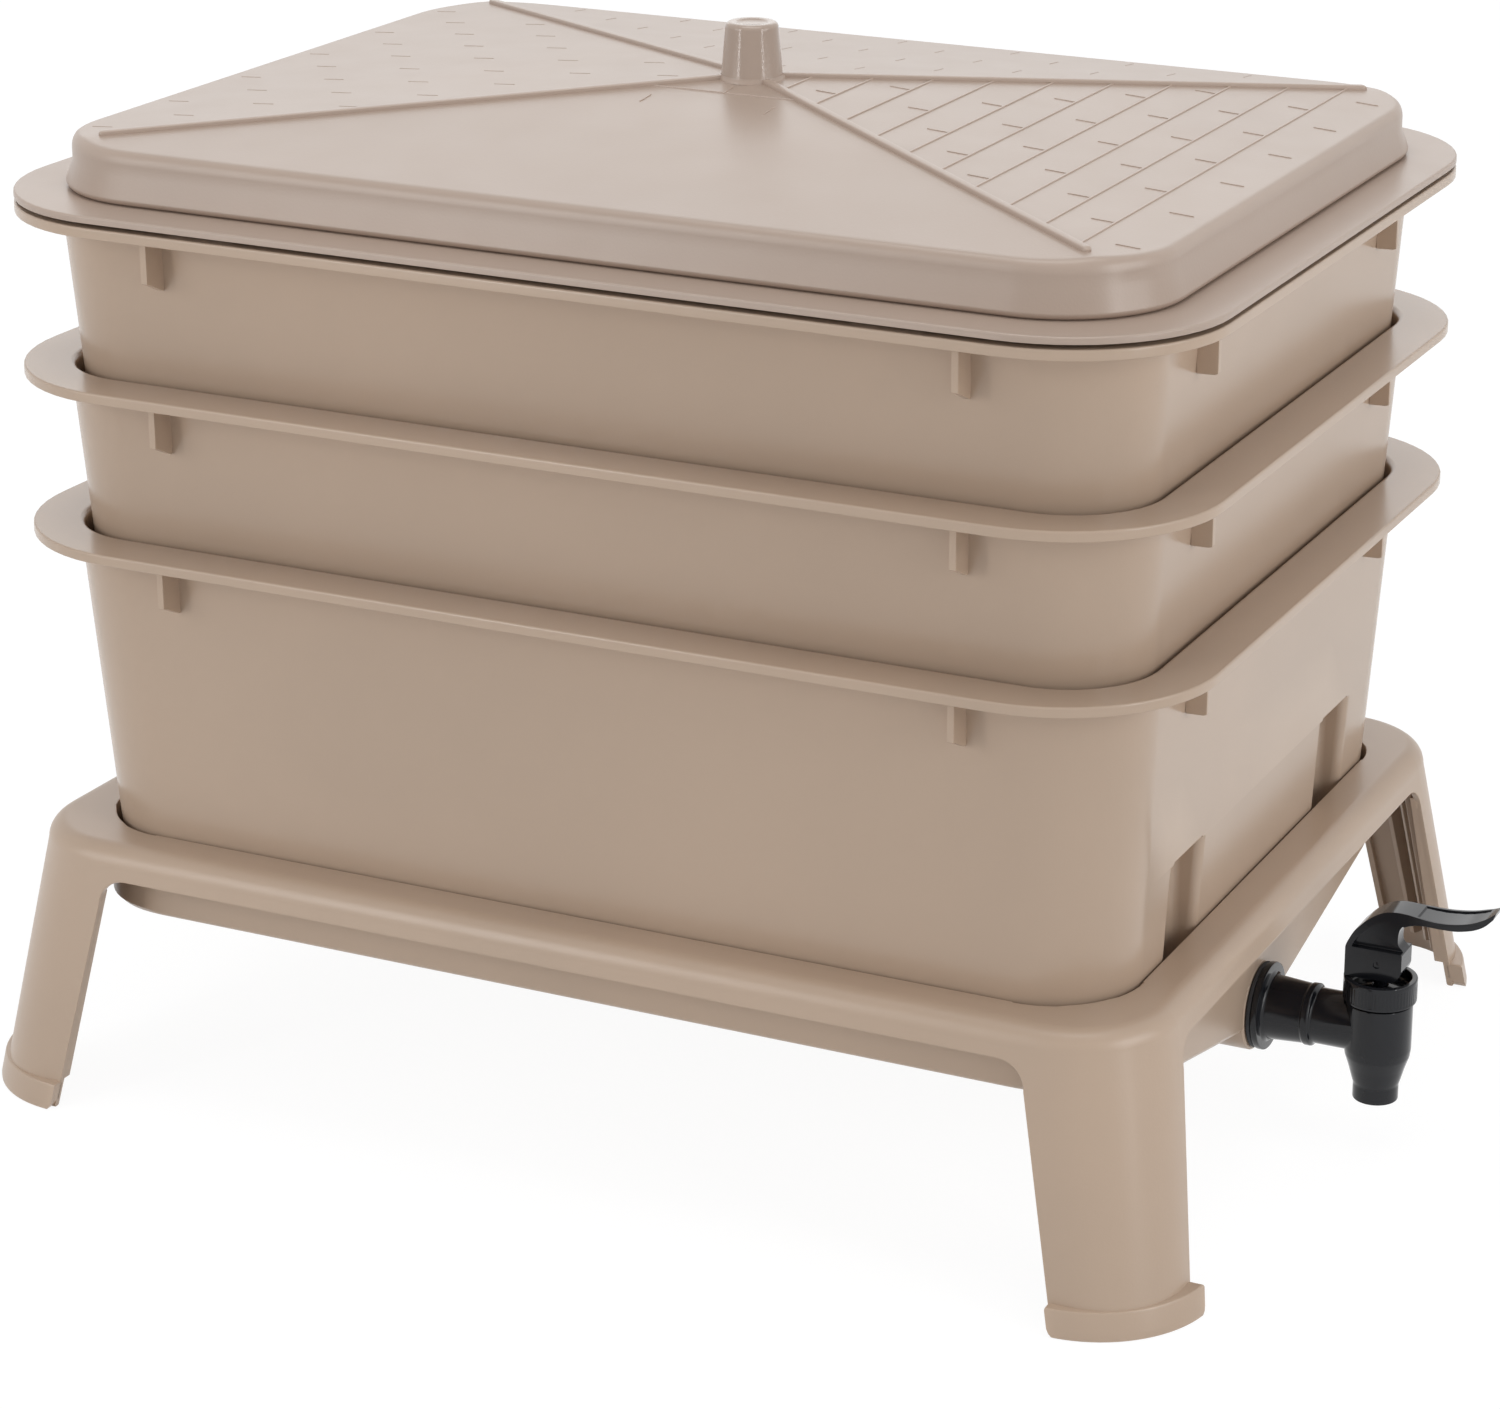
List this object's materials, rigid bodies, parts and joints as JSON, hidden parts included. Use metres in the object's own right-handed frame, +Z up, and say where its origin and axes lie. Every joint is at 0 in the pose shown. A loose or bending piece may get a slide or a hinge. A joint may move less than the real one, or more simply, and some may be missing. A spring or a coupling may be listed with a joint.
{
  "type": "stacking wormery",
  "caption": "Worm composter with nested rimmed trays and a hipped lid on a legged stand whose sloping sump drains to a push lever tap.",
  "frame": {"origin": "middle of the whole object's bounding box, at floor level", "axes": "+Z up, +X along the trays' long side towards the tap, +Y to the back"},
  "size_m": [0.6256, 0.429, 0.4568],
  "materials": {
    "taupe_plastic": "satin moulded polypropylene",
    "taupe_lid": "fine-grained moulded polypropylene",
    "black_plastic": "gloss moulded plastic",
    "black_rubber": "matt rubber",
    "silicone": "milky silicone rubber"
  },
  "bodies": {
    "stand": {"stand": "taupe_plastic", "tap_body": "black_plastic", "tap_outer_gasket": "black_rubber", "tap_inner_gasket": "black_rubber", "tap_lock_nut": "black_plastic", "tap_bonnet": "black_plastic"},
    "lower_tray": {"lower_tray": "taupe_plastic"},
    "middle_tray": {"middle_tray": "taupe_plastic"},
    "upper_tray": {"upper_tray": "taupe_plastic"},
    "lid": {"lid": "taupe_lid"},
    "tap_stem": {"tap_stem": "black_plastic", "tap_valve_cup": "silicone"},
    "tap_lever": {"tap_lever": "black_plastic", "tap_lever_pin": "black_plastic"}
  },
  "joints": [
    {"name": "lower_tray_lift", "type": "slide", "parent": "stand", "child": "lower_tray", "axis": [0, 0, 1], "range_m": [0, 0.06]},
    {"name": "middle_tray_lift", "type": "slide", "parent": "lower_tray", "child": "middle_tray", "axis": [0, 0, 1], "range_m": [0, 0.12]},
    {"name": "upper_tray_lift", "type": "slide", "parent": "middle_tray", "child": "upper_tray", "axis": [0, 0, 1], "range_m": [0, 0.12]},
    {"name": "lid_lift", "type": "slide", "parent": "upper_tray", "child": "lid", "axis": [0, 0, 1], "range_m": [0, 0.15]},
    {"name": "tap_stem_slide", "type": "slide", "parent": "stand", "child": "tap_stem", "axis": [0, 0, 1], "range_m": [0, 0.00244], "stiffness_N_per_m": 3000},
    {"name": "tap_lever_hinge", "type": "hinge", "parent": "tap_stem", "child": "tap_lever", "pos_m": [0.26203, 0, 0.0854], "axis": [0, 1, 0], "range_deg": [0, 20]}
  ],
  "couplings": [
    {"joint": "tap_lever_hinge", "follows": "tap_stem_slide", "rad_per_m": 142.86}
  ]
}
